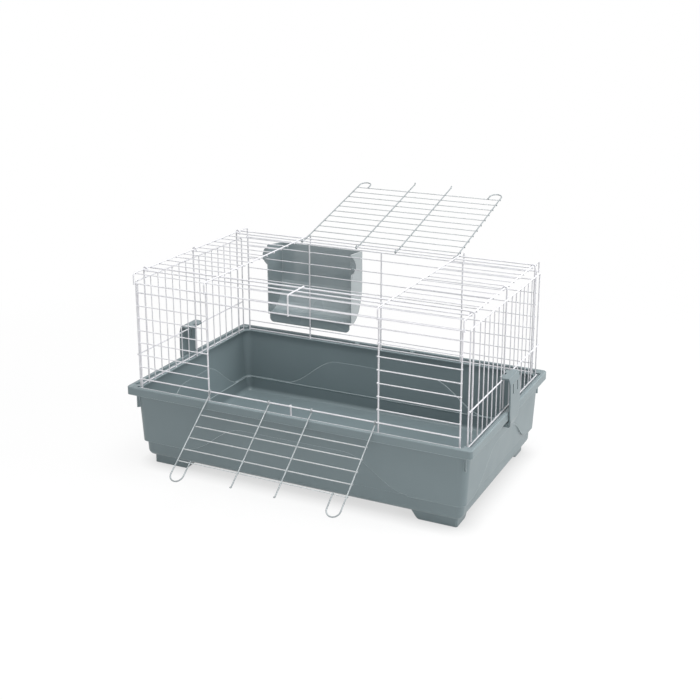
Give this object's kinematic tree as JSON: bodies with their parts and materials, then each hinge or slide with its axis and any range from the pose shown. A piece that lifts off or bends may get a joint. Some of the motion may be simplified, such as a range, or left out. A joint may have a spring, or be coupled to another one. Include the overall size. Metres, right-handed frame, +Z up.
{
  "type": "rabbit hutch",
  "caption": "Indoor rabbit cage: deep moulded tray under a white wire cage, with a drop-down front door, a lift-up roof door, a hay rack and two end clips.",
  "frame": {"origin": "on the ground, under the middle of the tray", "axes": "+X to the right along the length, +Y to the back (the front door is at -Y), +Z up"},
  "size_m": [0.8154, 0.9463, 0.5345],
  "materials": {
    "tray_plastic": "semi-gloss",
    "rack_plastic": "semi-gloss",
    "clip_plastic": "semi-gloss",
    "white_wire": "gloss enamel",
    "plated_wire": "bright zinc plating"
  },
  "bodies": {
    "hutch": {"base_tray": "tray_plastic", "front_posts": "white_wire", "front_top_rails": "white_wire", "front_hinge_rail": "white_wire", "front_bottom_rail": "white_wire", "front_left_bars": "white_wire", "front_right_bars": "white_wire", "front_top_stiffener": "white_wire", "front_bottom_stub": "white_wire", "back_posts": "white_wire", "back_rails": "white_wire", "back_bars": "white_wire", "left_end_frame": "white_wire", "left_end_bars": "white_wire", "left_end_hooks": "white_wire", "left_end_rails": "white_wire", "right_end_frame": "white_wire", "right_end_bars": "white_wire", "right_end_hooks": "white_wire", "right_end_rails": "white_wire", "roof_edge_wires": "white_wire", "roof_opening_wires": "white_wire", "roof_front_wires": "white_wire", "roof_rear_wires": "white_wire", "roof_left_bars": "white_wire", "roof_right_bars": "white_wire"},
    "front_door": {"front_door_wires": "plated_wire", "front_door_bars": "plated_wire"},
    "roof_door": {"roof_door_wires": "plated_wire", "roof_door_bars": "plated_wire"},
    "hay_rack": {"hay_rack": "rack_plastic"},
    "left_clip": {"left_clip": "clip_plastic"},
    "right_clip": {"right_clip": "clip_plastic"}
  },
  "joints": [
    {"name": "front_door_hinge", "type": "hinge", "parent": "hutch", "child": "front_door", "pos_m": [0, -0.2357, 0.20555], "axis": [-1, 0, 0], "range_deg": [0, 127.4]},
    {"name": "roof_door_hinge", "type": "hinge", "parent": "hutch", "child": "roof_door", "pos_m": [0, 0.187, 0.44305], "axis": [1, 0, 0], "range_deg": [0, 165.3]},
    {"name": "hay_rack_lift", "type": "slide", "parent": "hutch", "child": "hay_rack", "axis": [0, 0, 1], "range_m": [0, 0.012]},
    {"name": "left_clip_pivot", "type": "hinge", "parent": "hutch", "child": "left_clip", "pos_m": [-0.399, 0, 0.153], "axis": [0, -1, 0], "range_deg": [0, 80]},
    {"name": "right_clip_pivot", "type": "hinge", "parent": "hutch", "child": "right_clip", "pos_m": [0.399, 0, 0.153], "axis": [0, 1, 0], "range_deg": [0, 80]}
  ]
}
